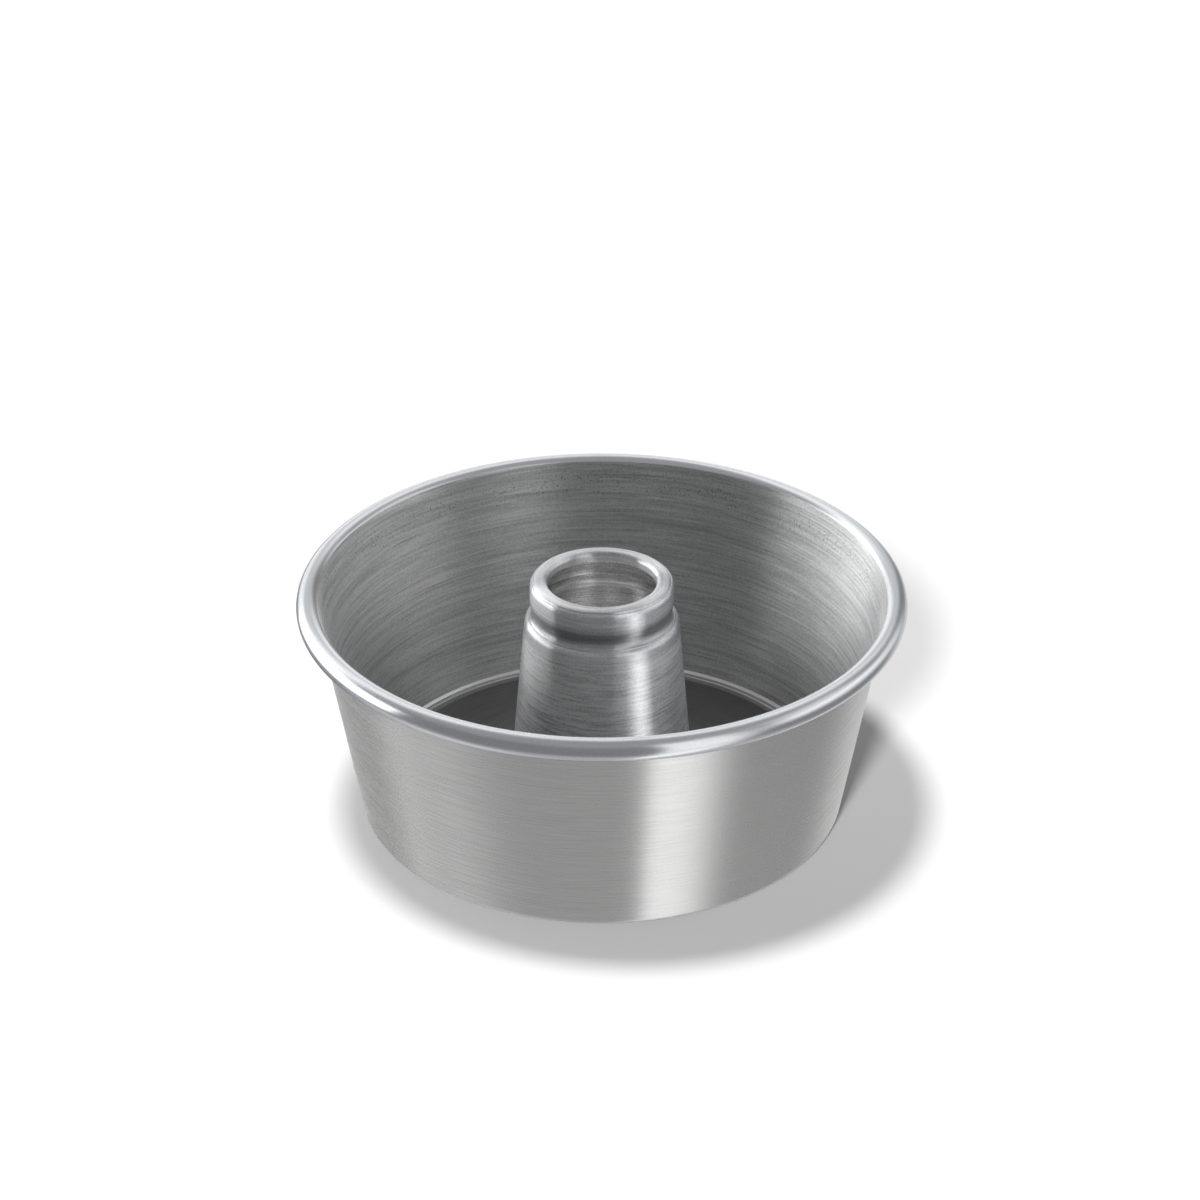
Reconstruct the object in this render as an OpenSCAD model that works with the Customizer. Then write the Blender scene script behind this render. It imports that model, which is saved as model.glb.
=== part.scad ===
// Angel food cake pan in spun aluminium.
// Three pieces: the outer shell, the loose base plate that rests on the shell's ledge,
// and the centre tube that is fixed in the base plate and lifts out with it.
// Millimetres. The origin is on the table under the centre, +Z is up.

/* [Outer shell] */
// Outside diameter over the rolled rim
rim_d = 200; // [180:1:280]
// Height from the table to the top of the rolled rim
shell_h = 78.6; // [60:0.2:110]
// Outside diameter of the wall, carried down to the table
bottom_d = 162; // [140:1:170]
// Thickness of the shell's sheet
shell_t = 1.2; // [0.8:0.1:1.6]
// Outside diameter of the rolled rim's bead
bead_d = 7.4; // [6:0.1:9]
// Gap left between the end of the rolled sheet and the wall
curl_gap = 0.3; // [0.15:0.05:0.6]
// Width of the ledge that is turned in at the bottom
ledge_w = 3.4; // [2.8:0.1:6]
// Inside radius of the bend between the wall and the ledge
ledge_bend_r = 0.8; // [0.8:0.1:1.2]

/* [Base plate] */
// Thickness of the base plate's sheet
plate_t = 1.3; // [0.8:0.1:1.6]
// Play between the plate's flange and the bend at the end of the ledge
flange_gap = 0.2; // [0.1:0.05:0.5]
// Play between the plate's step and the inner edge of the ledge
step_gap = 0.4; // [0.2:0.05:0.8]
// Radial length of the step down from the flange to the cake floor
step_run = 1.8; // [1.4:0.1:4]
// Gap from the table to the underside of the cake floor
floor_lift = 0.3; // [0.1:0.05:0.4]
// Flat width of the raised seat beyond the edge of the tube's foot
seat_margin = 1; // [0.5:0.1:4]
// Radial length of the slope up from the cake floor to the seat
seat_run = 2.4; // [2:0.1:6]

/* [Centre tube] */
// Height from the table to the top of the tube
tube_h = 80.8; // [70:0.2:120]
// Thickness of the tube's sheet
tube_t = 1.2; // [0.8:0.1:1.4]
// Outside diameter of the neck that passes through the base plate
neck_d = 62; // [56:0.5:72]
// Play between the neck and the hole in the base plate
neck_fit = 0.05; // [0.02:0.01:0.2]
// Width of the foot that is turned out under the base plate
foot_w = 3.8; // [3:0.1:6]
// Gap from the table to the underside of the foot
foot_lift = 0.4; // [0.1:0.05:0.8]
// Height of the rolled ring that holds the plate down, measured outwards
lock_h = 1.3; // [1.2:0.05:1.6]
// Outside diameter of the cone at its shoulder, under the groove
shoulder_d = 51; // [50:0.2:54]
// Slope of the shoulder's top towards the groove, in degrees
shoulder_rise = 10; // [5:1:20]
// Outside radius of the rounded shoulder
shoulder_r = 2.3; // [1.8:0.1:2.6]
// Diameter at the bottom of the rolled groove
groove_d = 46; // [45:0.1:46.4]
// Height from the groove to the top of the tube
collar_h = 13.8; // [10:0.2:18]
// Outside diameter of the collar above the groove
collar_d = 47.4; // [47.3:0.1:48.4]
// Lean of the collar's lower edge into the groove, in degrees
tuck_angle = 38; // [34:1:44]
// Outside radius of the collar's lower edge
tuck_r = 3.4; // [2.2:0.1:3.5]
// Outside radius round the top of the collar
collar_top_r = 3; // [2:0.1:3.2]
// Diameter of the open mouth
mouth_d = 36; // [30:0.5:37]
// Outside radius of the lip that rolls into the mouth
lip_r = 1.5; // [1.45:0.05:1.6]
// Straight length of the lip inside the mouth
mouth_land = 1.5; // [1:0.1:4]

/* [Smoothness] */
// Largest turn between two neighbouring facets of a bend, in degrees
bend_step = 7.5; // [4:0.5:15]
// Facets round a full turn of each revolved piece
round_fn = 180; // [48:12:360]

/* [Hidden] */

// Inside radius left in a bend that is pressed nearly sharp
tight_r = 0.1;
// Distance under which two outline points count as one
same_point = 0.001;
// Bends that make up the curl of the rim
curl_bends = 4;

// Outer shell: the wall's outside line passes the table at bottom_r and touches the
// inside of the bead, whose centre is bead_c
bottom_r = bottom_d / 2;
bead_r = bead_d / 2;
bead_c = [rim_d / 2 - bead_r, shell_h - bead_r];
bead_in_r = bead_r - shell_t;
curl_r = bead_r - shell_t / 2;
to_bead = bead_c - [bottom_r, 0];
wall_lean = atan2(to_bead[0], to_bead[1]) - asin(bead_in_r / norm(to_bead));
wall_mid_r = bottom_r + (shell_t / 2) * (tan(wall_lean) - 1 / cos(wall_lean));
ledge_r = bottom_r - ledge_w;
curl_sweep = 360 - acos((bead_in_r - shell_t / 2 - curl_gap) / curl_r);
curl_turn = curl_sweep / curl_bends;

// Radius at which the flat of the ledge ends and its bend starts
ledge_mid_bend_r = ledge_bend_r + shell_t / 2;
ledge_flat_r = wall_mid_r - ledge_mid_bend_r * tan((90 - wall_lean) / 2);

// Base plate: middle heights and radii of its sheet
flange_z = shell_t + plate_t / 2;
floor_z = floor_lift + plate_t / 2;
foot_z = foot_lift + tube_t / 2;
seat_z = foot_lift + tube_t + plate_t / 2;
flange_mid_r = ledge_flat_r - flange_gap;
step_out_r = ledge_r - step_gap;
step_in_r = step_out_r - step_run;
neck_r = neck_d / 2;
seat_r = neck_r + foot_w + seat_margin;
hole_r = neck_r + neck_fit;
plate_bend_r = plate_t / 2 + tight_r;

// Centre tube: middle line of its sheet, from the foot up to the lip
half_t = tube_t / 2;
neck_mid_r = neck_r - half_t;
lock_bend_r = half_t + 0.2;
lock_start_z = seat_z + (sqrt(2) - 1) * (plate_t / 2 + neck_fit) + half_t * tan(22.5);
groove_bottom = [groove_d / 2, tube_h - collar_h];
groove_bend_r = half_t + tight_r / 2;
shoulder_dir = [-cos(shoulder_rise), sin(shoulder_rise)];
tuck_dir = [sin(tuck_angle), cos(tuck_angle)];
groove_half_turn = (90 - shoulder_rise + tuck_angle) / 2;
groove_p = groove_bottom - unit(tuck_dir - shoulder_dir) * groove_bend_r / cos(groove_half_turn);
shoulder_mid_r = shoulder_d / 2 - half_t;
shoulder_p = groove_p + shoulder_dir * (shoulder_mid_r - groove_p[0]) / shoulder_dir[0];
collar_mid_r = collar_d / 2 - half_t;
tuck_p = groove_p + tuck_dir * (collar_mid_r - groove_p[0]) / tuck_dir[0];
top_z = tube_h - half_t;
mouth_mid_r = mouth_d / 2 + half_t;
lip_mid_r = lip_r - half_t;

// Plane vectors
function unit(v) = v / norm(v);
function turned(v, a) = [v[0] * cos(a) - v[1] * sin(a), v[0] * sin(a) + v[1] * cos(a)];
function signed_turn(u, v) = atan2(u[0] * v[1] - u[1] * v[0], u * v);
function polar(c, r, a) = c + r * [cos(a), sin(a)];

// One side of a bend at q between the points p and s. The side lies off to the left of
// the middle line, or to the right where off is negative.
function bend(p, q, s, r, off) =
    let (
        d1 = unit(q - p),
        d2 = unit(s - q),
        turn = signed_turn(d1, d2),
        side = sign(turn),
        centre = q + unit(d2 - d1) * r / cos(turn / 2),
        steps = max(2, ceil(abs(turn) / bend_step)),
        spoke = -side * turned(d1, 90)
    )
    [for (k = [0:steps]) centre + (r - side * off) * turned(spoke, turn * k / steps)];

// One whole side of a sheet that follows the points of path, with bend radii radii
function sheet_side(path, radii, off) =
    let (last = len(path) - 1)
    concat(
        [path[0] + off * turned(unit(path[1] - path[0]), 90)],
        [for (i = [1:last - 1]) each bend(path[i - 1], path[i], path[i + 1], radii[i - 1], off)],
        [path[last] + off * turned(unit(path[last] - path[last - 1]), 90)]
    );

// Half-round edge at the end e of a sheet that arrives in direction d, from the left
// side of the middle line round to the right side, without its two end points
function round_edge(e, d, t) =
    let (steps = ceil(180 / (2 * bend_step)))
    [for (k = [1:steps - 1]) e + t / 2 * turned(d, 90 - 180 * k / steps)];

function without_doubles(pts) =
    [for (i = [0:len(pts) - 1]) if (norm(pts[i] - pts[(i + 1) % len(pts)]) > same_point) pts[i]];

// Cross-section of a sheet of thickness t. round_start and round_end say which of its
// two edges are half round; the other edges are square.
module sheet_section(path, radii, t, round_start, round_end) {
    last = len(path) - 1;
    left_side = sheet_side(path, radii, t / 2);
    right_side = sheet_side(path, radii, -t / 2);
    end_edge = round_end ? round_edge(path[last], unit(path[last] - path[last - 1]), t) : [];
    start_edge = round_start ? round_edge(path[0], unit(path[0] - path[1]), t) : [];
    right_back = [for (i = [len(right_side) - 1:-1:0]) right_side[i]];
    polygon(without_doubles(concat(left_side, end_edge, right_back, start_edge)));
}

module spun(path, radii, t, round_start = true, round_end = true) {
    rotate_extrude($fn = round_fn) sheet_section(path, radii, t, round_start, round_end);
}

// Wall with its ledge turned in at the bottom and its rim rolled outwards at the top
module outer_shell() {
    curl_points = [
        for (i = [0:curl_bends - 1])
            polar(bead_c, curl_r / cos(curl_turn / 2), 180 - wall_lean - (i + 0.5) * curl_turn)
    ];
    path = concat(
        [[ledge_r, shell_t / 2], [wall_mid_r, shell_t / 2]],
        curl_points,
        [polar(bead_c, curl_r, 180 - wall_lean - curl_sweep)]
    );
    radii = concat([ledge_mid_bend_r], [for (i = [1:curl_bends]) curl_r]);
    color([0.80, 0.80, 0.79]) spun(path, radii, shell_t, round_start = false);
}

// Disc with a flange on the ledge, a step down to the cake floor and a raised seat
// round the tube
module base_plate() {
    path = [
        [flange_mid_r, flange_z],
        [step_out_r, flange_z],
        [step_in_r, floor_z],
        [seat_r + seat_run, floor_z],
        [seat_r, seat_z],
        [hole_r + plate_t / 2, seat_z]
    ];
    color([0.66, 0.67, 0.68]) spun(path, [for (i = [1:4]) plate_bend_r], plate_t);
}

// Cone with a foot under the plate, a rolled ring over it, a groove below the collar
// and a lip that rolls into the mouth
module centre_tube() {
    path = [
        [neck_r + foot_w - half_t, foot_z],
        [neck_mid_r, foot_z],
        [neck_mid_r, lock_start_z],
        [neck_mid_r + lock_h, lock_start_z + lock_h],
        [neck_mid_r, lock_start_z + 2 * lock_h],
        shoulder_p,
        groove_p,
        tuck_p,
        [collar_mid_r, top_z],
        [mouth_mid_r, top_z],
        [mouth_mid_r, top_z - lip_mid_r - mouth_land]
    ];
    radii = [
        half_t + tight_r,
        lock_bend_r,
        lock_bend_r,
        lock_bend_r,
        shoulder_r - half_t,
        groove_bend_r,
        tuck_r - half_t,
        collar_top_r - half_t,
        lip_mid_r
    ];
    color([0.76, 0.77, 0.79]) spun(path, radii, tube_t);
}

outer_shell();
base_plate();
centre_tube();
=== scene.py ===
# %% [markdown]
# # Angel food cake pan in spun aluminium
# The pan is a spun shell with a rolled rim, a loose base plate that rests on the
# shell's ledge, and a centre tube that is fixed in the plate and lifts out with it.
# Everything here happens in the frame of the CAD model: metres, origin on the table
# under the centre, Z up. So the first step is to load that frame, and nothing is fitted.

# %%  Load the frame
import cmath
from math import acos, asin, atan2, ceil, cos, degrees, radians, sin, sqrt, tan

import bmesh
import bpy
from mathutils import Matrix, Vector


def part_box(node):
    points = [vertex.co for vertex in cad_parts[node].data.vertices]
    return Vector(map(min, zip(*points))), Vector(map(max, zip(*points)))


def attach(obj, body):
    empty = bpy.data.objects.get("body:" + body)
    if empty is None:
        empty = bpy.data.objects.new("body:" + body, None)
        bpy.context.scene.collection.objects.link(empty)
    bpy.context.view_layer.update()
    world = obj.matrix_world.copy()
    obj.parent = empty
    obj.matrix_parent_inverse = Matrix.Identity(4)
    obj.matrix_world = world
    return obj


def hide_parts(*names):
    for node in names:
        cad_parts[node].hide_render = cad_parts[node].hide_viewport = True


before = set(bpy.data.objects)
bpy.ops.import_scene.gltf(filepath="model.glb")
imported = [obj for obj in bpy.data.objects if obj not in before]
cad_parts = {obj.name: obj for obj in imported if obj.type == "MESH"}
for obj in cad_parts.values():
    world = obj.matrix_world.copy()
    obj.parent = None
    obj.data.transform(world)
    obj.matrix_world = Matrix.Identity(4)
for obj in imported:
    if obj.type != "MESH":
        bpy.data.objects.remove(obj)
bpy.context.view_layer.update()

MM = 0.001

# %% [markdown]
# ## Camera
# A product photographer stands back and uses a long lens, so the pan keeps its
# proportions. The place, aim and lens come from fitting the outline of the rolled rim,
# the wall's two sides and the bottom edge of the photograph all at once.
# The lens could also be set by eye, but a fit gives the pan's real proportions too.

# %%  Camera
CAMERA_AT = (0.0, -0.8606, 0.5508)
CAMERA_AIM = (-0.0006, 0.0, 0.0728)
CAMERA_LENS = 89.84

camera = bpy.data.objects.new("camera", bpy.data.cameras.new("camera"))
bpy.context.scene.collection.objects.link(camera)
camera.location = CAMERA_AT
view_line = Vector(CAMERA_AIM) - Vector(CAMERA_AT)
camera.rotation_euler = view_line.to_track_quat("-Z", "Y").to_euler()
camera.data.lens = CAMERA_LENS
camera.data.clip_start = 0.01
bpy.context.scene.camera = camera
looks_down = degrees(asin(-view_line.z / view_line.length))
print("camera looks down by", round(looks_down, 1), "degrees")

# %% [markdown]
# ## How a spun sheet is drawn
# Each piece starts as a flat disc of sheet that is pressed over a turning form. Its
# cross-section is therefore one line of even thickness with bends in it. The line
# could be drawn point by point, but here it is given as a few corners with a bend
# radius each, as a metal spinner would note it down. A point of the section is one
# complex number: the real part is the radius, the imaginary part the height. Turning
# a direction is then only a multiplication.

# %%  Sections of bent sheet
BEND_STEP, MIN_BEND_STEPS = radians(6), 3
# Steps of a quarter circle at the sheet's end
END_STEPS = 6
# In mm: the longest step on a straight, how close a support lies to a bend, and the
# distance under which two points are one
STRAIGHT_STEP, EDGE_SUPPORT, SAME_POINT = 3.0, 0.25, 1e-3


def unit(v):
    return v / abs(v)


def bend(p, q, s, r, off):
    """Points of one side of the bend at q, between the corners p and s."""
    d1, d2 = unit(q - p), unit(s - q)
    turn = cmath.phase(d2 / d1)
    side = 1 if turn > 0 else -1
    centre = q + unit(d2 - d1) * r / cos(turn / 2)
    steps = max(MIN_BEND_STEPS, ceil(abs(turn) / BEND_STEP))
    spoke = -side * d1 * 1j * (r - side * off)
    return [centre + spoke * cmath.rect(1, turn * k / steps) for k in range(steps + 1)]


def sheet_side(path, radii, off):
    first, last = unit(path[1] - path[0]), unit(path[-1] - path[-2])
    side = [path[0] + off * 1j * first]
    for i, r in enumerate(radii):
        side += bend(path[i], path[i + 1], path[i + 2], r, off)
    return side + [path[-1] + off * 1j * last]


def sheet_edge(end, direction, t, corner_r):
    """Rounding round the sheet's end: a half circle past it, or two small corners."""
    half_round = corner_r is None
    r = t / 2 if half_round else corner_r
    points = []
    for side in (1, -1):
        corner = end + direction * 1j * (t / 2 - r) * side
        if not half_round:
            corner -= direction * r
        start = 90 if side > 0 else 0
        points += [corner + r * direction * cmath.rect(1, radians(start - 90 * k / END_STEPS))
                   for k in range(END_STEPS + 1)]
    return points


def with_supports(points):
    """Split long straights, closely at both ends, so that bends keep clean shading."""
    result = []
    for a, b in zip(points, points[1:] + points[:1]):
        gap = abs(b - a)
        if gap < SAME_POINT:
            continue
        result.append(a)
        if gap > 4 * EDGE_SUPPORT:
            near, far = EDGE_SUPPORT / gap, 1 - EDGE_SUPPORT / gap
            count = ceil((gap - 2 * EDGE_SUPPORT) / STRAIGHT_STEP)
            result += [a + (b - a) * (near + (far - near) * k / count)
                       for k in range(count + 1)]
    return result


def sheet_section(path, radii, t, start_r=None, end_r=None):
    """Closed outline, with the sheet's outside on the left of the walk."""
    left, right = sheet_side(path, radii, t / 2), sheet_side(path, radii, -t / 2)
    end = sheet_edge(path[-1], unit(path[-1] - path[-2]), t, end_r)
    start = sheet_edge(path[0], unit(path[0] - path[1]), t, start_r)
    return with_supports(left[1:-1] + end + right[::-1][1:-1] + start)


print("a square bend is drawn with", len(bend(0j, 10 + 0j, 10 + 10j, 3.0, 0.0)), "points")

# %% [markdown]
# ## Node helpers
# Both the shapes and the finishes are made with nodes. Adding nodes by hand takes
# three lines each, so two small helpers do it: one adds any node with its options and
# inputs, the other adds a Math node and hands back its result.

# %%  Node helpers


def add(tree, kind, inputs=(), **options):
    """Add one node. An input is a number to set or a socket to link."""
    node = tree.nodes.new(kind)
    for name, value in options.items():
        setattr(node, name, value)
    sockets = [s for s in node.inputs if s.enabled]
    by_name = {s.name: s for s in sockets}
    pairs = inputs.items() if isinstance(inputs, dict) else enumerate(inputs)
    for key, value in pairs:
        socket = by_name[key] if isinstance(key, str) else sockets[key]
        if isinstance(value, bpy.types.NodeSocket):
            tree.links.new(value, socket)
        elif value is not None:
            socket.default_value = value
    return node


def result(node, name=None):
    sockets = [s for s in node.outputs if s.enabled]
    return next((s for s in sockets if s.name == name), sockets[0])


def calc(tree, operation, *inputs):
    return result(add(tree, "ShaderNodeMath", inputs, operation=operation))


def new_group(name, kind, inputs, outputs):
    """Node group with named sockets. Returns it with its input node."""
    group = bpy.data.node_groups.new(name, kind)
    for way, rows in (("INPUT", inputs), ("OUTPUT", outputs)):
        for label, socket_type, value in rows:
            socket = group.interface.new_socket(label, in_out=way, socket_type=socket_type)
            if value is not None:
                socket.default_value = value
    return group, group.nodes.new("NodeGroupInput")


def give(group, values):
    add(group, "NodeGroupOutput", values)
    print("node group", group.name, "has", len(group.nodes), "nodes")


# %% [markdown]
# ## The spinning lathe
# A section that is turned round the axis follows a rule, so Geometry Nodes make it.
# The Spin tool or a Screw modifier would do it too. This tree bends a flat grid
# instead: one way of the grid counts the steps round the axis, the other way walks
# along the section. That also tells each face which strip of the section it belongs
# to, so the tree can give every zone its own finish.

# %%  Geometry Nodes tree: spun sheet
STEPS_ROUND = 240
FINISH_ZONES = 4

lathe, lathe_in = new_group(
    "Spun sheet", "GeometryNodeTree",
    [("Section", "NodeSocketGeometry", None),
     ("Steps Round", "NodeSocketInt", STEPS_ROUND),
     ("Section Points", "NodeSocketInt", 100),
     ("Seam Distance", "NodeSocketFloat", 1e-6)]
    + [(f"Finish {k}", "NodeSocketMaterial", None) for k in range(FINISH_ZONES)],
    [("Piece", "NodeSocketGeometry", None)])
points = lathe_in.outputs["Section Points"]
rows = calc(lathe, "ADD", points, 1)
columns = calc(lathe, "ADD", lathe_in.outputs["Steps Round"], 1)
grid = add(lathe, "GeometryNodeMeshGrid", {"Vertices X": columns, "Vertices Y": rows})
index = result(add(lathe, "GeometryNodeInputIndex"))
step = calc(lathe, "FLOOR", calc(lathe, "DIVIDE", calc(lathe, "ADD", index, 0.5), rows))
walk = calc(lathe, "SUBTRACT", index, calc(lathe, "MULTIPLY", step, rows))
position = result(add(lathe, "GeometryNodeInputPosition"))
section_point = add(lathe, "GeometryNodeSampleIndex",
                    {"Geometry": lathe_in.outputs["Section"], "Value": position,
                     "Index": calc(lathe, "MODULO", walk, points)},
                    data_type="FLOAT_VECTOR", domain="POINT")
parts = add(lathe, "ShaderNodeSeparateXYZ", [result(section_point)])
turn = calc(lathe, "DIVIDE", step, lathe_in.outputs["Steps Round"])
angle = calc(lathe, "MULTIPLY", turn, radians(360))
place = add(lathe, "ShaderNodeCombineXYZ",
            [calc(lathe, "MULTIPLY", parts.outputs["X"], calc(lathe, "COSINE", angle)),
             calc(lathe, "MULTIPLY", parts.outputs["X"], calc(lathe, "SINE", angle)),
             parts.outputs["Z"]])
bent = add(lathe, "GeometryNodeSetPosition",
           {"Geometry": result(grid, "Mesh"), "Position": result(place)})
print("the grid is bent with", len(lathe.nodes), "nodes")

# %% [markdown]
# The zone numbers are stored on the faces while the grid still has its seam, because
# only then a face's own index says which strip it is. After that the seam is closed,
# and each zone takes its finish. Choosing faces by hand would work for one shape only.

# %%  Geometry Nodes tree: zones, seam and finishes
strip = calc(lathe, "MODULO", index, points)
zone_mark = add(lathe, "GeometryNodeInputNamedAttribute", {"Name": "zone"}, data_type="INT")
zone = add(lathe, "GeometryNodeSampleIndex",
           {"Geometry": lathe_in.outputs["Section"], "Value": result(zone_mark),
            "Index": strip}, data_type="INT", domain="POINT")
marked = add(lathe, "GeometryNodeStoreNamedAttribute",
             {"Geometry": result(bent), "Name": "zone", "Value": result(zone)},
             data_type="INT", domain="FACE")
closed = add(lathe, "GeometryNodeMergeByDistance",
             {"Geometry": result(marked), "Distance": lathe_in.outputs["Seam Distance"]})
smooth = add(lathe, "GeometryNodeSetShadeSmooth",
             {"Geometry": result(closed), "Shade Smooth": True})
piece = result(add(lathe, "GeometryNodeRealizeInstances", [result(smooth)]))
for k in range(FINISH_ZONES):
    here = add(lathe, "FunctionNodeCompare", {"A": result(zone_mark), "B": k},
               data_type="INT", operation="EQUAL")
    piece = result(add(lathe, "GeometryNodeSetMaterial",
                       {"Geometry": piece, "Selection": result(here),
                        "Material": lathe_in.outputs[f"Finish {k}"]}))
give(lathe, {"Piece": piece})

# %% [markdown]
# Turning a section into a finished piece is the same for all three: the outline
# becomes a ring of points with a zone number each, the tree turns it, the result is
# kept as a plain mesh, and the modifier goes. A shape that is turned can come out
# inside out, so the faces are pointed outwards and the volume has to be positive.

# %%  From section to piece


def face_outwards(name, mesh):
    shape = bmesh.new()
    shape.from_mesh(mesh)
    bmesh.ops.recalc_face_normals(shape, faces=shape.faces)
    volume = shape.calc_volume(signed=True)
    open_edges = sum(not edge.is_manifold for edge in shape.edges)
    shape.to_mesh(mesh)
    shape.free()
    if volume < 0 or open_edges:
        raise ValueError(name + " is inside out or open")
    return volume


def spin(name, outline, zone_of, finishes):
    section = bpy.data.meshes.new(name)
    count = len(outline)
    section.from_pydata([(p.real * MM, 0, p.imag * MM) for p in outline],
                        [(k, (k + 1) % count) for k in range(count)], [])
    marks = section.attributes.new("zone", "INT", "POINT")
    for k in range(count):
        a, b = outline[k], outline[(k + 1) % count]
        marks.data[k].value = zone_of((a + b) / 2, 1j * unit(b - a))
    turned = bpy.data.objects.new(name, section)
    bpy.context.scene.collection.objects.link(turned)
    modifier = turned.modifiers.new("Spun sheet", "NODES")
    modifier.node_group = lathe
    values = {"Steps Round": STEPS_ROUND, "Section Points": count}
    for k in range(FINISH_ZONES):
        values[f"Finish {k}"] = finishes[min(k, len(finishes) - 1)]
    for item in lathe.interface.items_tree:
        if item.item_type == "SOCKET" and item.name in values:
            modifier[item.identifier] = values[item.name]
    graph = bpy.context.evaluated_depsgraph_get()
    mesh = bpy.data.meshes.new_from_object(turned.evaluated_get(graph))
    turned.modifiers.remove(modifier)
    turned.data = mesh
    volume = face_outwards(name, mesh)
    triangles = sum(len(face.vertices) - 2 for face in mesh.polygons)
    print(f"{name}: {count} section points, {triangles} triangles, closed,"
          f" {volume / (10 * MM) ** 3:.1f} cubic cm")
    return turned


# %% [markdown]
# ## Grain of a spun sheet
# A tool that slides over turning metal leaves fine rings, broken into long streaks,
# and wider bands where it was pressed harder. Painting that would need an image.
# Noise does it from the place on the piece alone: the coordinates are stretched, slow
# round the axis and fast across the rings. Distance along the section is height plus
# or minus radius, whichever grows steadily on that piece. A third noise that isn't
# stretched gives the fine even grain of metal that was never polished.

# %%  Shader group: spun grain
grain, grain_in = new_group(
    "Spun grain", "ShaderNodeTree",
    [("Radius Sign", "NodeSocketFloat", 1.0),
     ("Streaks per Metre", "NodeSocketFloat", 40.0),
     ("Rings per Metre", "NodeSocketFloat", 2000.0),
     ("Bands per Metre", "NodeSocketFloat", 150.0),
     ("Grains per Metre", "NodeSocketFloat", 1500.0),
     ("Seed", "NodeSocketFloat", 0.0)],
    [("Rings", "NodeSocketFloat", None), ("Bands", "NodeSocketFloat", None),
     ("Grain", "NodeSocketFloat", None)])
place = add(grain, "ShaderNodeTexCoord").outputs["Object"]
xyz = add(grain, "ShaderNodeSeparateXYZ", [place])
radius = calc(grain, "SQRT", calc(grain, "ADD", calc(grain, "POWER", xyz.outputs["X"], 2),
                                  calc(grain, "POWER", xyz.outputs["Y"], 2)))
along = calc(grain, "MULTIPLY_ADD", radius, grain_in.outputs["Radius Sign"],
             xyz.outputs["Z"])
values = {}
for label, rate, slow, detail in (("Rings", "Rings per Metre", 1.0, 3.0),
                                  ("Bands", "Bands per Metre", 0.25, 4.0)):
    round_rate = calc(grain, "MULTIPLY", grain_in.outputs["Streaks per Metre"], slow)
    stretched = add(grain, "ShaderNodeCombineXYZ",
                    [calc(grain, "MULTIPLY", xyz.outputs["X"], round_rate),
                     calc(grain, "MULTIPLY", xyz.outputs["Y"], round_rate),
                     calc(grain, "MULTIPLY", along, grain_in.outputs[rate])])
    noise = add(grain, "ShaderNodeTexNoise",
                {"Vector": result(stretched), "W": grain_in.outputs["Seed"],
                 "Scale": 1.0, "Detail": detail, "Roughness": 0.6}, noise_dimensions="4D")
    values[label] = noise.outputs[0]
even = add(grain, "ShaderNodeTexNoise",
           {"Vector": place, "W": grain_in.outputs["Seed"],
            "Scale": grain_in.outputs["Grains per Metre"], "Detail": 1.0},
           noise_dimensions="4D")
values["Grain"] = even.outputs[0]
give(grain, values)

# %% [markdown]
# ## Finishes
# All finishes are bare aluminium, so one function makes them and only the amounts
# differ: how bright the metal is, how rough, how strongly the rings show, and how far
# the gloss is drawn out across the rings. Fine rings scatter light across themselves
# and hardly along themselves, which is what the shader's anisotropy does. Its tangent
# runs round the axis, so a quarter turn puts the wide side across the rings.

# %%  Material maker
# Noise keeps to this range nearly everywhere
NOISE_LOW, NOISE_HIGH = 0.3, 0.7
# Noise at which a pit begins, and at which it is full
PIT_START, PIT_FULL = 0.36, 0.3
ROUGH_SHARE = 0.12
# Share by which each mark darkens the metal, and by which the painted shade darkens it
DARK_LINE_SHARE, PIT_SHARE, PAINTED_SHADE_SHARE = 0.6, 0.5, 0.55
DARK_LINE_WIDTH, DARK_LINE_BLUR, PIT_BLUR = 0.4 * MM, 0.2 * MM, 4 * MM


def spread(tree, value, low, high):
    """A noise value, near 0.5, spread over a range that is centred on its middle."""
    return result(add(tree, "ShaderNodeMapRange",
                      {"Value": value, "From Min": NOISE_LOW, "From Max": NOISE_HIGH,
                       "To Min": low, "To Max": high}))


def height_band(tree, low, high, blur):
    """1 between two heights on the piece and 0 elsewhere, with soft ends."""
    place = add(tree, "ShaderNodeTexCoord").outputs["Object"]
    height = add(tree, "ShaderNodeSeparateXYZ", [place]).outputs["Z"]
    ends = [result(add(tree, "ShaderNodeMapRange",
                       {"Value": calc(tree, "MULTIPLY", height, way),
                        "From Min": way * end - blur / 2,
                        "From Max": way * end + blur / 2}))
            for way, end in ((1, low), (-1, high))]
    return calc(tree, "MULTIPLY", *ends)


def darkened(tree, tone, mask, share):
    return calc(tree, "MULTIPLY", tone, calc(tree, "SUBTRACT", 1.0,
                                             calc(tree, "MULTIPLY", mask, share)))


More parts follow.
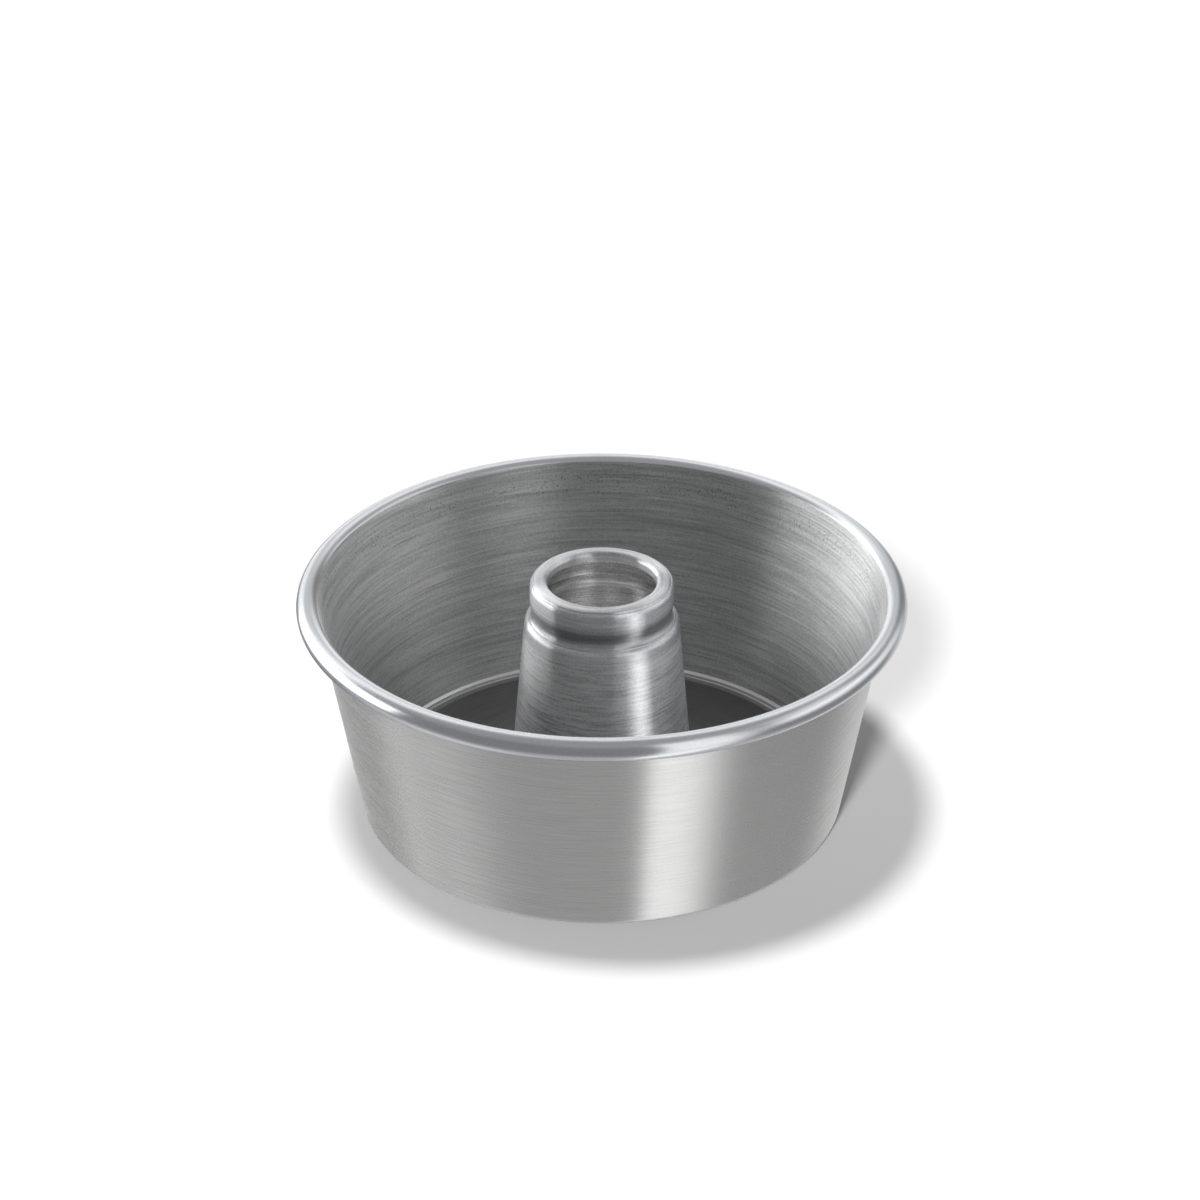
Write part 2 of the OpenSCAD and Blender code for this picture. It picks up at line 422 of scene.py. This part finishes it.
def aluminium(name, colour, roughness, drawn_out, rings, bands, grains, bump_depth,
              ring_rate=2000.0, band_rate=150.0, streak_rate=40.0, sign=1.0, seed=0.0,
              dark_line=None, pits=None, painted_shade=None):
    """rings, bands and grains are the share by which they lighten and darken the metal.
    dark_line is the height of a thin dark line drawn into the colour. Pits lie between the
    two heights of pits.
    painted_shade darkens the metal as painted shade between its first two heights, and the
    third softens the ends."""
    material = bpy.data.materials.new(name)
    material.use_nodes = True
    tree = material.node_tree
    tree.nodes.clear()
    marks = add(tree, "ShaderNodeGroup", node_tree=grain)
    for label, value in (("Radius Sign", sign), ("Streaks per Metre", streak_rate),
                         ("Rings per Metre", ring_rate), ("Bands per Metre", band_rate),
                         ("Seed", seed)):
        marks.inputs[label].default_value = value
    ring_tone = spread(tree, marks.outputs["Rings"], 1 - rings, 1 + rings)
    band_tone = spread(tree, marks.outputs["Bands"], 1 - bands, 1 + bands)
    grain_tone = spread(tree, marks.outputs["Grain"], 1 - grains, 1 + grains)
    tone = calc(tree, "MULTIPLY", calc(tree, "MULTIPLY", ring_tone, band_tone), grain_tone)
    # A thin dark line drawn into the colour at one height
    if dark_line:
        line = height_band(tree, dark_line, dark_line + DARK_LINE_WIDTH, DARK_LINE_BLUR)
        tone = darkened(tree, tone, line, DARK_LINE_SHARE)
    if pits:
        deep = result(add(tree, "ShaderNodeMapRange",
                          {"Value": marks.outputs["Grain"], "From Min": PIT_START,
                           "From Max": PIT_FULL}))
        pitted = calc(tree, "MULTIPLY", deep, height_band(tree, *pits, PIT_BLUR))
        tone = darkened(tree, tone, pitted, PIT_SHARE)
    # Painted shade: the colour is darkened between two heights
    if painted_shade:
        tone = darkened(tree, tone, height_band(tree, *painted_shade), PAINTED_SHADE_SHARE)
    tinted = add(tree, "ShaderNodeVectorMath", {0: (*colour,), 1: tone},
                 operation="MULTIPLY")
    rough = spread(tree, marks.outputs["Rings"],
                   roughness * (1 + ROUGH_SHARE), roughness * (1 - ROUGH_SHARE))
    bump = add(tree, "ShaderNodeBump",
               {"Strength": 1.0, "Distance": bump_depth, "Height": marks.outputs["Rings"]})
    shader = add(tree, "ShaderNodeBsdfPrincipled",
                 {"Base Color": result(tinted), "Metallic": 1.0, "Roughness": rough,
                  "Anisotropic": drawn_out, "Anisotropic Rotation": 0.25,
                  "Normal": result(bump)})
    add(tree, "ShaderNodeOutputMaterial", {"Surface": result(shader)})
    print("material", name, "with", len(tree.nodes), "nodes")
    return material


# %% [markdown]
# Each part of the pan was finished in another way. The rim is nearly polished, the
# outside is brushed fine and even, and the inside is left as the spinning tool made it.
# Painted maps could hold all this, but a few named amounts are easier to change.

# %%  Finishes of the three pieces
# The rim's bead gets painted shade on its underside, between 70 and 72.3 mm
rim_polish = aluminium(
    "rim polish", (0.84, 0.865, 0.9), roughness=0.23, drawn_out=0.8, rings=0.04,
    bands=0.03, grains=0.03, bump_depth=2e-6, streak_rate=30, ring_rate=900, seed=1,
    painted_shade=(70 * MM, 72.3 * MM, 0.6 * MM))
# The outside wall has a thin dark line drawn round it at 68.9 mm, just below the bead
outside_brush = aluminium(
    "outside brush", (0.83, 0.83, 0.825), roughness=0.27, drawn_out=0.95, rings=0.02,
    bands=0.015, grains=0.01, bump_depth=1.2e-6, streak_rate=60, ring_rate=1600, seed=2,
    dark_line=68.9 * MM)
inside_spin = aluminium(
    "inside spin", (0.85, 0.855, 0.86), roughness=0.56, drawn_out=1.0, rings=0.2,
    bands=0.12, grains=0.11, bump_depth=8e-6, streak_rate=40, ring_rate=1000,
    band_rate=300, seed=3, pits=(66 * MM, 73 * MM))
underside_spin = aluminium(
    "underside spin", (0.72, 0.72, 0.72), roughness=0.35, drawn_out=0.7, rings=0.05,
    bands=0.06, grains=0.02, bump_depth=6e-6, seed=4)
# The plate's face is far darker than bare aluminium: painted shade at the bottom of the pan
plate_face_painted_shade = aluminium(
    "plate face in painted shade", (0.33, 0.33, 0.335), roughness=0.4, drawn_out=0.6, rings=0.07,
    bands=0.06, grains=0.04, bump_depth=5e-6, seed=5)
flange_polish = aluminium(
    "flange polish", (0.9, 0.9, 0.91), roughness=0.3, drawn_out=0.7, rings=0.04,
    bands=0.04, grains=0.03, bump_depth=3e-6, seed=9)
tube_brush = aluminium(
    "tube brush", (0.85, 0.855, 0.865), roughness=0.42, drawn_out=1.0, rings=0.3,
    bands=0.16, grains=0.12, bump_depth=7e-6, streak_rate=80, ring_rate=1100, sign=-1,
    seed=6)
# The tube's neck gets painted shade in the hollow under the collar, between 68 and 73.5 mm
tube_polish = aluminium(
    "tube polish", (0.84, 0.86, 0.88), roughness=0.33, drawn_out=1.0, rings=0.2,
    bands=0.12, grains=0.1, bump_depth=5e-6, streak_rate=60, ring_rate=1300, sign=-1,
    seed=7, painted_shade=(68 * MM, 73.5 * MM, 3 * MM))
# The tube's inside is darker than the other metal: painted shade inside the mouth
tube_inside_painted_shade = aluminium(
    "tube inside in painted shade", (0.62, 0.62, 0.62), roughness=0.3, drawn_out=0.8, rings=0.35,
    bands=0.25, grains=0.18, bump_depth=1.2e-5, sign=-1, seed=8)

# %% [markdown]
# ## Outer shell
# The shell is one sheet: a ledge turned in at the bottom, a wall that leans outwards,
# and a rim rolled outwards into a hollow bead, which stiffens it and makes it safe to
# hold. The wall is tangent to the inside of the roll, so its lean follows from the
# bottom, the height and the bead. The values are those of the CAD source.

# %%  Outer shell
RIM_D, SHELL_H, BOTTOM_D, SHELL_T = 200.0, 78.6, 162.0, 1.2
BEAD_D, CURL_GAP, LEDGE_W, LEDGE_BEND_R = 7.4, 0.3, 3.4, 0.8
CURL_BENDS, LEDGE_END_R = 4, 0.15

bottom_r, bead_r = BOTTOM_D / 2, BEAD_D / 2
bead_c = complex(RIM_D / 2 - bead_r, SHELL_H - bead_r)
bead_in_r, curl_r = bead_r - SHELL_T, bead_r - SHELL_T / 2
to_bead = bead_c - bottom_r
wall_lean = atan2(to_bead.real, to_bead.imag) - asin(bead_in_r / abs(to_bead))
wall_mid_r = bottom_r + SHELL_T / 2 * (tan(wall_lean) - 1 / cos(wall_lean))
ledge_r = bottom_r - LEDGE_W
curl_sweep = radians(360) - acos((bead_in_r - SHELL_T / 2 - CURL_GAP) / curl_r)
curl_turn = curl_sweep / CURL_BENDS
curl_start = radians(180) - wall_lean
ledge_mid_bend_r = LEDGE_BEND_R + SHELL_T / 2
ledge_flat_r = wall_mid_r - ledge_mid_bend_r * tan((radians(90) - wall_lean) / 2)

shell_path = [complex(ledge_r, SHELL_T / 2), complex(wall_mid_r, SHELL_T / 2)]
shell_path += [bead_c + cmath.rect(curl_r / cos(curl_turn / 2),
                                   curl_start - (i + 0.5) * curl_turn)
               for i in range(CURL_BENDS)]
shell_path.append(bead_c + cmath.rect(curl_r, curl_start - curl_sweep))
shell_outline = sheet_section(shell_path, [ledge_mid_bend_r] + [curl_r] * CURL_BENDS,
                              SHELL_T, start_r=LEDGE_END_R)


# The bead's inner flank, from this share of its radius on, belongs to the inside. SKIN is
# how far in mm a face may lie off the bead's surface.
FLANK_FROM, SKIN, UNDERSIDE_Z = 0.75, 0.1, 2.0


def shell_zone(p, normal):
    from_bead, inwards = abs(p - bead_c), bead_c.real - p.real
    inner_flank = from_bead > bead_r - SKIN and inwards > FLANK_FROM * bead_r
    if from_bead < bead_r + SKIN / 2 and not inner_flank:
        return 0
    if normal.imag < -0.5 and p.imag < UNDERSIDE_Z:
        return 3
    return 1 if normal.real > 0 else 2


shell = spin("spun_shell", shell_outline, shell_zone,
             [rim_polish, outside_brush, inside_spin, underside_spin])
print("the wall leans out by", round(degrees(wall_lean), 2), "degrees")

# %% [markdown]
# ## Base plate
# The loose bottom is a disc with a flange that lies on the ledge, a step down to the
# cake floor and a raised seat for the tube. It could be a plain disc, but the bright
# line along the wall and the soft crease inside it in the photograph are the flange
# and the step, so they are made as real bends.

# %%  Base plate
PLATE_T, FLANGE_GAP, STEP_GAP, STEP_RUN = 1.3, 0.2, 0.4, 1.8
FLOOR_LIFT, SEAT_MARGIN, SEAT_RUN, TIGHT_R = 0.3, 1.0, 2.4, 0.1
NECK_D, NECK_FIT, FOOT_W, FOOT_LIFT, TUBE_T = 62.0, 0.05, 3.8, 0.4, 1.2
# The flange's edge is turned up a little, which shows as a bright line round the floor
EDGE_RISE, EDGE_OUT, EDGE_IN = 0.8, 0.3, 0.6

neck_r, half_t = NECK_D / 2, TUBE_T / 2
flange_z = SHELL_T + PLATE_T / 2
floor_z = FLOOR_LIFT + PLATE_T / 2
seat_z = FOOT_LIFT + TUBE_T + PLATE_T / 2
seat_r = neck_r + FOOT_W + SEAT_MARGIN
step_out_r = ledge_r - STEP_GAP
flange_out_r = ledge_flat_r - FLANGE_GAP
plate_path = [complex(flange_out_r + EDGE_OUT, flange_z + EDGE_RISE),
              complex(flange_out_r - EDGE_IN, flange_z),
              complex(step_out_r, flange_z),
              complex(step_out_r - STEP_RUN, floor_z),
              complex(seat_r + SEAT_RUN, floor_z),
              complex(seat_r, seat_z),
              complex(neck_r + NECK_FIT + PLATE_T / 2, seat_z)]
plate_radii = [PLATE_T / 2 + TIGHT_R] * (len(plate_path) - 2)
plate_outline = sheet_section(plate_path, plate_radii, PLATE_T)
# The flange's plain metal tone reaches down this share of the step, and below it the face has
# painted shade
BRIGHT_SHARE = 0.6


def plate_zone(p, normal):
    if normal.imag < 0:
        return 1
    return 2 if p.real > step_out_r - BRIGHT_SHARE * STEP_RUN else 0


plate = spin("spun_plate", plate_outline, plate_zone,
             [plate_face_painted_shade, underside_spin, flange_polish])
print("the cake floor lies", round(floor_z + PLATE_T / 2, 2), "mm above the table")

# %% [markdown]
# ## Centre tube
# The tube is a cone with a shoulder, a neck rolled in under a collar, and a lip that
# rolls into the open mouth. Its foot grips the plate from below and a rolled ring
# holds it from above. Each of these is one bend or two in the same section. The neck
# is drawn from its outside line, because that is what the eye reads: the collar tucks
# in, swings out again in a wider hollow, and meets the shoulder at a fine raised bead.

# %%  Centre tube
TUBE_H, LOCK_H, SHOULDER_D, SHOULDER_R = 80.8, 1.3, 51.0, 2.3
COLLAR_D, COLLAR_TOP_R, MOUTH_D, LIP_R, MOUTH_LAND = 47.4, 2.6, 36.0, 1.5, 1.5
NECK_LOW_D, NECK_LOW_Z, HOLLOW_R = 45.9, 69.3, 3.0
TUCK_ANGLE, TUCK_R, FLARE_ANGLE, SHOULDER_RISE = 25.0, 9.0, 50.0, 30.0
FINE_BEAD_R, FINE_BEAD_SUNK = 0.3, 0.05
CREASE_R, CREASE_ANGLE = 0.3, 48.0
LOCK_BEND_R, LOCK_FLANK = 0.2, 45.0

neck_mid_r = neck_r - half_t
lock_z = (seat_z + (sqrt(2) - 1) * (PLATE_T / 2 + NECK_FIT)
          + half_t * tan(radians(LOCK_FLANK / 2)))
collar_mid_r = COLLAR_D / 2 - half_t
shoulder_mid_r = SHOULDER_D / 2 - half_t
# The hollow is an arc. Its middle line ends where the tuck and the flare touch it
hollow_c = complex(NECK_LOW_D / 2 + HOLLOW_R, NECK_LOW_Z)
tuck_way = 1j * cmath.rect(1, -radians(TUCK_ANGLE))
flare_way = -1j * cmath.rect(1, radians(FLARE_ANGLE))
tuck_end = hollow_c + (HOLLOW_R + half_t) * 1j * tuck_way
flare_end = hollow_c - (HOLLOW_R + half_t) * 1j * flare_way
hollow_reach = (HOLLOW_R + half_t) * tan(radians(TUCK_ANGLE + FLARE_ANGLE) / 2)
hollow_p = tuck_end - tuck_way * hollow_reach
tuck_p = tuck_end + tuck_way * (collar_mid_r - tuck_end.real) / tuck_way.real
shoulder_way = -cmath.rect(1, -radians(SHOULDER_RISE))
shoulder_run = (shoulder_mid_r - flare_end.real) / shoulder_way.real
shoulder_p = flare_end + shoulder_way * shoulder_run
top_z = TUBE_H - half_t
mouth_mid_r = MOUTH_D / 2 + half_t
tube_path = [complex(neck_r + FOOT_W - half_t, FOOT_LIFT + half_t),
             complex(neck_mid_r, FOOT_LIFT + half_t),
             complex(neck_mid_r, lock_z),
             complex(neck_mid_r + LOCK_H, lock_z + LOCK_H),
             complex(neck_mid_r, lock_z + 2 * LOCK_H),
             shoulder_p, flare_end, hollow_p, tuck_p,
             complex(collar_mid_r, top_z),
             complex(mouth_mid_r, top_z),
             complex(mouth_mid_r, top_z - (LIP_R - half_t) - MOUTH_LAND)]
tube_radii = [half_t + TIGHT_R] + [half_t + LOCK_BEND_R] * 3
tube_radii += [SHOULDER_R - half_t, half_t + TIGHT_R, HOLLOW_R + half_t, TUCK_R - half_t,
               COLLAR_TOP_R - half_t, LIP_R - half_t]

print("the hollow's arc turns by", TUCK_ANGLE + FLARE_ANGLE, "degrees")

# %% [markdown]
# A bead or a groove finer than the sheet can't be bent into its middle line. It is laid
# on the finished outline: the points that it covers go, and an arc takes their place.

# %%  Fine bead and crease
ARC_STEPS = 14


def round_line(outline, centre, r, sunk=False):
    """Lay a round bead or groove on the outline in place of what it covers."""
    keep = [abs(p - centre) > r for p in outline]
    count = len(outline)
    first = next(k for k in range(count) if keep[k] and not keep[(k + 1) % count])
    last = next(k for k in range(count) if keep[k] and not keep[k - 1])
    ends = []
    for outer, inner in ((first, first + 1), (last, last - 1)):
        a, way = outline[inner], unit(outline[outer] - outline[inner])
        b = ((a - centre) * way.conjugate()).real
        reach = -b + sqrt(b * b - abs(a - centre) ** 2 + r * r)
        ends.append(cmath.phase(a + way * reach - centre))
    full = radians(360)
    turn = (ends[1] - ends[0]) % full - (0 if sunk else full)
    arc = [centre + cmath.rect(r, ends[0] + turn * k / ARC_STEPS)
           for k in range(ARC_STEPS + 1)]
    return outline[:first + 1] + arc + outline[last:]


tube_outline = sheet_section(tube_path, tube_radii, TUBE_T)
bead_at = hollow_c - (HOLLOW_R + FINE_BEAD_SUNK) * 1j * flare_way
tube_outline = round_line(tube_outline, bead_at, FINE_BEAD_R)
corner_c = complex(COLLAR_D / 2 - COLLAR_TOP_R, TUBE_H - COLLAR_TOP_R)
crease_at = corner_c + cmath.rect(COLLAR_TOP_R, radians(CREASE_ANGLE))
tube_outline = round_line(tube_outline, crease_at, CREASE_R, sunk=True)
print("tube section has", len(tube_outline), "points")

# %% [markdown]
# The neck, collar and lip are smoother than the cone, and the inside is left rough. The
# height and the side that a face looks to say which finish it gets.

# %%  Tube's zones
# In mm: the lip's top that counts as outside, the lip's depth and width inside the
# mouth, and how far below the neck the smooth finish reaches
LIP_TOP, LIP_DEPTH, LIP_WIDTH, POLISH_DEPTH = 1.0, 4.0, 0.6, 7.0


def tube_zone(p, normal):
    outside = normal.real > 0 or p.imag > TUBE_H - LIP_TOP
    on_lip = p.imag > TUBE_H - LIP_DEPTH and p.real < MOUTH_D / 2 + LIP_WIDTH
    if not outside and not on_lip:
        return 2
    return 1 if p.imag > NECK_LOW_Z - POLISH_DEPTH else 0


tube = spin("spun_tube", tube_outline, tube_zone, [tube_brush, tube_polish, tube_inside_painted_shade])

# %% [markdown]
# ## Joining the frame
# Every piece rides on its CAD body and stands for its CAD node. The boxes of the new pieces
# are compared with the CAD nodes, because the finer mesh has to keep the size of the real
# thing.

# %% Ride and replace
for piece, node, body, slot in ((shell, "outer_shell", "shell", "shell_aluminium"),
                                (plate, "base_plate", "insert", "plate_aluminium"),
                                (tube, "centre_tube", "insert", "tube_aluminium")):
    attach(piece, body)
    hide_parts(node)
    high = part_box(node)[1]
    past = [max(v.co[i] for v in piece.data.vertices) - high[i] for i in range(3)]
    print(piece.name, "reaches past its CAD node by, in mm:",
          [round(p / MM, 3) for p in past])

# %% [markdown]
# ## Floor
# The photograph's ground is plain white with one soft shadow. The camera sees a pale
# matt plane. Bare metal mirrors whatever is round it, and a white plane that close
# would wash it out, so mirrored rays pass the plane and see the studio's surroundings.

# %%  Floor
FLOOR_SIZE, FLOOR_SINK, FLOOR_TONE = 6.0, 0.2 * MM, (0.4, 0.4, 0.4, 1)

floor = bpy.data.objects.new("floor", bpy.data.meshes.new("floor"))
half = FLOOR_SIZE / 2
corners = [(x * half, y * half, -FLOOR_SINK)
           for x, y in ((-1, -1), (1, -1), (1, 1), (-1, 1))]
floor.data.from_pydata(corners, [], [(0, 1, 2, 3)])
bpy.context.scene.collection.objects.link(floor)
floor_paint = bpy.data.materials.new("pale floor")
floor_paint.use_nodes = True
tree = floor_paint.node_tree
tree.nodes.clear()
light_path = add(tree, "ShaderNodeLightPath")
passes = calc(tree, "MAXIMUM", light_path.outputs["Is Glossy Ray"],
              light_path.outputs["Is Shadow Ray"])
matt = add(tree, "ShaderNodeBsdfDiffuse", {"Color": FLOOR_TONE})
clear = add(tree, "ShaderNodeBsdfTransparent")
mixed = add(tree, "ShaderNodeMixShader", [passes, result(matt), result(clear)])
add(tree, "ShaderNodeOutputMaterial", {"Surface": result(mixed)})
floor.data.materials.append(floor_paint)
print("the floor is", FLOOR_SIZE, "m wide and lies", FLOOR_SINK / MM, "mm under the pan")

# %% [markdown]
# ## Studio light
# Metal shows its surroundings more than its own colour, so most of the light work is
# deciding what stands round the pan. Panels could be placed as glowing planes. Here
# they are windows in the world's shader, each given by the direction it stands in,
# because they then light every view in the same way and cast no edges on the floor.

# %%  World group: card
card, card_in = new_group(
    "Card", "ShaderNodeTree",
    [("Azimuth", "NodeSocketFloat", 0.0), ("Half Width", "NodeSocketFloat", 30.0),
     ("Left Softness", "NodeSocketFloat", 5.0), ("Right Softness", "NodeSocketFloat", 5.0),
     ("Elevation", "NodeSocketFloat", 0.0), ("Half Height", "NodeSocketFloat", 30.0),
     ("Top Softness", "NodeSocketFloat", 10.0), ("Strength", "NodeSocketFloat", 1.0)],
    [("Light", "NodeSocketFloat", None)])
direction = add(card, "ShaderNodeTexCoord").outputs["Generated"]
xyz = add(card, "ShaderNodeSeparateXYZ", [direction])
forward = calc(card, "MULTIPLY", xyz.outputs["Y"], -1)
azimuth = calc(card, "ARCTAN2", xyz.outputs["X"], forward)
azimuth = calc(card, "MULTIPLY", azimuth, degrees(1))
elevation = calc(card, "MULTIPLY", calc(card, "ARCSINE", xyz.outputs["Z"]), degrees(1))
aside = calc(card, "WRAP", calc(card, "SUBTRACT", azimuth, card_in.outputs["Azimuth"]),
             180, -180)
above = calc(card, "SUBTRACT", elevation, card_in.outputs["Elevation"])
window = card_in.outputs["Strength"]
for offset, half_size, softness in (
        (calc(card, "MULTIPLY", aside, -1), "Half Width", "Left Softness"),
        (aside, "Half Width", "Right Softness"),
        (calc(card, "ABSOLUTE", above), "Half Height", "Top Softness")):
    inside = calc(card, "SUBTRACT", card_in.outputs[half_size], offset)
    share = calc(card, "ADD", calc(card, "DIVIDE", inside, card_in.outputs[softness]), 0.5)
    edge = add(card, "ShaderNodeMapRange", {"Value": share},
               interpolation_type="SMOOTHSTEP")
    window = calc(card, "MULTIPLY", window, result(edge))
give(card, {"Light": window})

# %% [markdown]
# The photograph's tones say where the windows stand: a large bright one at the left, a
# soft one at the right front, weaker ones behind, and the table below. One picture of a
# studio could give all of them, but then none could be moved by itself.

# %%  World: surroundings that the metal mirrors
SURROUND = 0.21
# name: azimuth, half width, left and right softness, elevation, half height, top softness,
# strength
CARDS = {
    "left window": (-109, 30, 6, 10, 8, 19, 8, 2.4),
    "left high": (-132, 18, 12, 12, 30, 12, 12, 0.6),
    "back left": (-161, 34, 20, 16, 9, 15, 12, 0.8),
    "overhead back": (-172, 40, 30, 30, 45, 15, 16, 0.7),
    "overhead": (0, 200, 2, 2, 65, 22, 20, 0.1),
    "right panel": (37, 15.5, 4, 22, -15, 65, 20, 0.72),
    "right band": (100, 38, 25, 20, 12, 14, 12, 0.55),
    "right high": (93, 24, 30, 30, 30, 18, 15, 0.5),
    "right low": (153, 24, 25, 20, -34, 28, 20, 0.42),
    "table left": (-88, 24, 5, 40, -53, 24, 20, 0.28),
    "table": (0, 200, 2, 2, -75, 28, 30, 0.24),
}
world = bpy.data.worlds.new("studio")
bpy.context.scene.world = world
world.use_nodes = True
tree = world.node_tree
tree.nodes.clear()
light = None
for label, row in CARDS.items():
    panel = add(tree, "ShaderNodeGroup", node_tree=card, label=label)
    for socket, value in zip(panel.inputs, row):
        socket.default_value = value
    light = calc(tree, "ADD", result(panel), SURROUND if light is None else light)
seen = add(tree, "ShaderNodeLightPath").outputs["Is Camera Ray"]
mirrored = add(tree, "ShaderNodeBackground", {"Color": (1, 1, 1, 1), "Strength": light})
backdrop = add(tree, "ShaderNodeBackground", {"Color": (1, 1, 1, 1), "Strength": 1.0})
both = add(tree, "ShaderNodeMixShader", [seen, result(mirrored), result(backdrop)])
add(tree, "ShaderNodeOutputWorld", {"Surface": result(both)})
print("surroundings:", ", ".join(CARDS))

# %% [markdown]
# ## Shadow
# World light is too even to cast the soft shadow that lies mostly at the right. Area
# lamps could cast it, but a sun lights every place alike, so nothing fades across the
# floor. Mirrored rays miss these suns, so the metal keeps the look of the windows.

# %%  Suns for the soft shadow
# name: azimuth, elevation, angle across the sun, strength
LAMPS = {"key": (-14, 33, 8, 4.5), "overhead left": (-110, 81, 10, 4.2)}


def add_sun(label, azimuth, elevation, across, strength):
    turn, rise = radians(azimuth), radians(elevation)
    toward = Vector((sin(turn) * cos(rise), -cos(turn) * cos(rise), sin(rise)))
    sun = bpy.data.objects.new(label, bpy.data.lights.new(label, "SUN"))
    sun.data.angle = radians(across)
    sun.data.energy = strength
    sun.location = toward
    sun.rotation_euler = (-toward).to_track_quat("-Z", "Y").to_euler()
    bpy.context.scene.collection.objects.link(sun)
    print("sun", label, "stands toward", [round(v, 2) for v in toward])
    return sun


for label, row in LAMPS.items():
    add_sun(label, *row).visible_glossy = False
bpy.context.scene.view_settings.view_transform = "Standard"

# %% [markdown]
# ## Streak on the tube
# Inside a shiny pan, light bounces off the wall onto the tube. In the photograph the
# wall's far side does this at the tube's right front. A few soft bounces are too weak
# for it, so one sun stands in for that patch of wall. It is linked to the tube alone.

# %%  Sun that lights the tube alone
STREAK = (54, -24, 24, 1.45)

streak = add_sun("wall patch", *STREAK)
only_tube = bpy.data.collections.new("lit by the wall patch")
only_tube.objects.link(tube)
streak.light_linking.receiver_collection = only_tube
streak.light_linking.blocker_collection = only_tube
